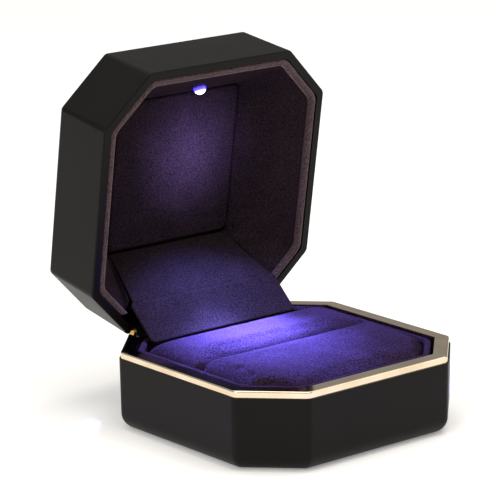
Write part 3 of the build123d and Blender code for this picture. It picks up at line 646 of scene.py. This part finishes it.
flap = {"thick": 0.85 * mm, "creaseThick": 0.5 * mm, "creaseRun": 0.4 * mm,
        "topHalf": 17.2 * mm, "creaseHalf": 20.9 * mm, "lowerHalf": 21.8 * mm,
        "topInset": (0.35 * mm, 0.5 * mm), "footInset": (0.45 * mm, 0.55 * mm),
        "shoulder": 1.6 * mm, "shoulderLead": 0.5 * mm, "footRound": 1.5 * mm,
        "endRound": 0.45 * mm, "endThin": 0.9, "square": 0.35, "bendReach": 1.2 * mm,
        "around": 64, "rows": 150}

# A flat band folded at the crease: its middle line runs down the upper board, turns
# at the crease and runs down the lower board. Its section is a rounded oblong: half
# width * cos(phi)^0.35 across and half thickness * sin(phi)^0.35 deep, signs kept. The
# thickness dips at the crease as exp(-(past / creaseRun)^2), past being measured from it.
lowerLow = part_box("flap_lower_board")[0]
upperTop = swingOpen(np.array([0, upperLow[1] + flap["topInset"][0],
                               upperHigh[2] + flap["topInset"][1]]))[1:]
crease = np.array([creaseY, creaseZ])
lowerFoot = np.array([lowerLow.y + flap["footInset"][0], lowerLow.z + flap["footInset"][1]])
corners = np.array([upperTop, crease, lowerFoot])
reach = np.concatenate([[0], np.cumsum(np.linalg.norm(np.diff(corners, axis=0), axis=1))])
even = np.linspace(0, reach[-1], flap["rows"])
line = np.column_stack([np.interp(even, reach, corners[:, 0]),
                        np.interp(even, reach, corners[:, 1])])
line[1:-1] = (line[:-2] + 2 * line[1:-1] + line[2:]) / 4
past = even - reach[1]
toFoot = even[-1] - even
normal = sideways(line, False)
taper = np.clip(-past / reach[1], 0, 1)
upperWidth = flap["creaseHalf"] + (flap["topHalf"] - flap["creaseHalf"]) * taper
rise = np.clip((past + flap["shoulderLead"]) / flap["shoulder"], 0, 1)
width = upperWidth + (flap["lowerHalf"] - flap["creaseHalf"]) * np.sqrt(1 - (1 - rise) ** 2)
footTurn = np.clip(1 - toFoot / flap["footRound"], 0, 1)
width -= flap["footRound"] * (1 - np.sqrt(1 - footTurn ** 2))
dip = np.exp(-(past / flap["creaseRun"]) ** 2)
thick = flap["thick"] - (flap["thick"] - flap["creaseThick"]) * dip
endTurn = np.clip(1 - np.minimum(even, toFoot) / flap["endRound"], 0, 1)
thick *= np.sqrt(1 - flap["endThin"] * endTurn ** 2)
phi = np.linspace(0, 2 * math.pi, flap["around"], endpoint=False)
acrossShape = np.sign(np.cos(phi)) * np.abs(np.cos(phi)) ** flap["square"]
depthShape = np.sign(np.sin(phi)) * np.abs(np.sin(phi)) ** flap["square"]
x = width[:, None] * acrossShape
offset = thick[:, None] / 2 * depthShape
y = line[:, 0, None] + offset * normal[:, 0, None]
z = line[:, 1, None] + offset * normal[:, 1, None]
band = np.stack([x, y, z], -1)
foldingFlap = addPiece("foldingFlap", withPoles(band), ringFaces(*band.shape[:2]), None,
                       liningVelour)
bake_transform(foldingFlap)
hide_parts("flap_upper_board", "flap_lower_board")
print("folding flap", band.shape)


# Pale sweep under a dome that darkens towards the horizon, for soft dim reflections.
studio = {"floor": "#f6f5f3", "halfFloor": 12, "horizon": "#7a7774", "haze": "#aaa8a5",
          "dome": "#ffffff", "strength": 0.9, "glow": 0.22}
edge = studio["halfFloor"]
floorMesh = bpy.data.meshes.new("floor")
floorMesh.from_pydata([(-edge, -edge, 0), (edge, -edge, 0), (edge, edge, 0), (-edge, edge, 0)], [],
                      [(0, 1, 2, 3)])
floor = bpy.data.objects.new("floor", floorMesh)
bpy.context.scene.collection.objects.link(floor)
floorMaterial, tree, shader = startMaterial("pale paper sweep")
setShader(shader, {"Base Color": linear(studio["floor"]), "Roughness": 0.9,
                   "Emission Color": (1, 1, 1, 1), "Emission Strength": studio["glow"]})
floorMesh.materials.append(floorMaterial)

world = bpy.data.worlds.new("studio")
bpy.context.scene.world = world
world.use_nodes = True
background = world.node_tree.nodes["Background"]
background.inputs["Strength"].default_value = studio["strength"]
direction = addNode(world.node_tree, "TexCoord").outputs["Generated"]
height = addNode(world.node_tree, "SeparateXYZ", links={0: direction}).outputs["Z"]
bands = [(0.05, studio["horizon"]), (0.4, studio["haze"]), (0.85, studio["dome"])]
sky = ramp(world.node_tree, height, bands)
world.node_tree.links.new(sky, background.inputs["Color"])


# Puts a light in the scene and turns it from place towards aim.
def placeLight(name, data, power, colour, place, aim):
    data.energy = power
    data.color = linear(colour)[:3]
    light = bpy.data.objects.new(name, data)
    light.location = place
    light.rotation_euler = (Vector(aim) - Vector(place)).to_track_quat("-Z", "Y").to_euler()
    bpy.context.scene.collection.objects.link(light)
    return light


def addSoftbox(name, place, aim, width, height, power, colour):
    data = bpy.data.lights.new(name, "AREA")
    data.shape = "RECTANGLE"
    data.size, data.size_y = width, height
    placeLight(name, data, power, colour, place, aim)


# Spots of the lamp ride the lid, so they swing with it into every pose.
def addSpot(name, place, aim, power, angle, radius, colour):
    data = bpy.data.lights.new(name, "SPOT")
    data.spot_size = math.radians(angle)
    data.spot_blend = 1.0
    data.shadow_soft_size = radius
    light = placeLight(name, data, power, colour, place, aim)
    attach(light, "lid")


addSoftbox("leftSoftbox", (-0.75, -0.25, 0.45), (0, 0, 0.04), 0.5, 0.5, 2.5, "#fffaf2")
addSoftbox("topSoftbox", (0.05, -0.1, 0.8), (0, 0, 0.03), 0.6, 0.6, 2.6, "#fff8f0")
addSoftbox("rightSoftbox", (0.6, -0.5, 0.35), (0, 0, 0.03), 0.4, 0.5, 1.0, "#fffdf8")

# The lamp's light leaves from just ahead of the dome: a narrow beam, a wider skirt and
# a broad weak spill, each with its power, angle and aim.
lampLight = {"colour": "#7c87ff", "ahead": 0.9 * mm, "radius": 2.4 * mm,
             "beam": (5.0, 32, (-0.002, 0.0115, 0.0196)),
             "skirt": (4.0, 47, (-0.006, 0.003, 0.0196)),
             "spill": (0.95, 82, (0.0, 0.008, 0.0196))}
for name in ("beam", "skirt", "spill"):
    power, angle, aim = lampLight[name]
    addSpot(name, ledTip + lampAxis * lampLight["ahead"], aim, power, angle, lampLight["radius"],
            lampLight["colour"])

# The glow that the lit cushions throw back on the ceiling.
glowLight = {"colour": "#a69eff", "power": 0.26, "angle": 56, "radius": 9 * mm,
             "place": (0.003, 0.014, 0.050), "aim": (0.0044, 0.040, 0.0570)}
addSpot("cushionGlow", glowLight["place"], glowLight["aim"], glowLight["power"],
        glowLight["angle"], glowLight["radius"], glowLight["colour"])
print("studio", len(bpy.data.lights), "lights")

view = {"azimuth": -39.81, "elevation": 14.48, "distance": 0.67346,
        "target": (-0.00888, 0, 0.04214), "roll": -0.011, "sensor": 36, "lens": 212.7,
        "shift": (-0.011, 0.0046)}
azimuth, elevation = math.radians(view["azimuth"]), math.radians(view["elevation"])
back = Vector((math.sin(azimuth) * math.cos(elevation),
               -math.cos(azimuth) * math.cos(elevation), math.sin(elevation)))
right = Vector((math.cos(azimuth), math.sin(azimuth), 0))
up = back.cross(right)
turned = right * math.cos(view["roll"]) + up * math.sin(view["roll"])
up = back.cross(turned)
cameraData = bpy.data.cameras.new("camera")
cameraData.sensor_width = view["sensor"]
cameraData.lens = view["lens"]
cameraData.shift_x, cameraData.shift_y = view["shift"]
camera = bpy.data.objects.new("camera", cameraData)
stand = Matrix.Translation(Vector(view["target"]) + back * view["distance"])
camera.matrix_world = stand @ Matrix((turned, up, back)).transposed().to_4x4()
bpy.context.scene.collection.objects.link(camera)
bpy.context.scene.camera = camera
bpy.context.scene.view_settings.view_transform = "Standard"
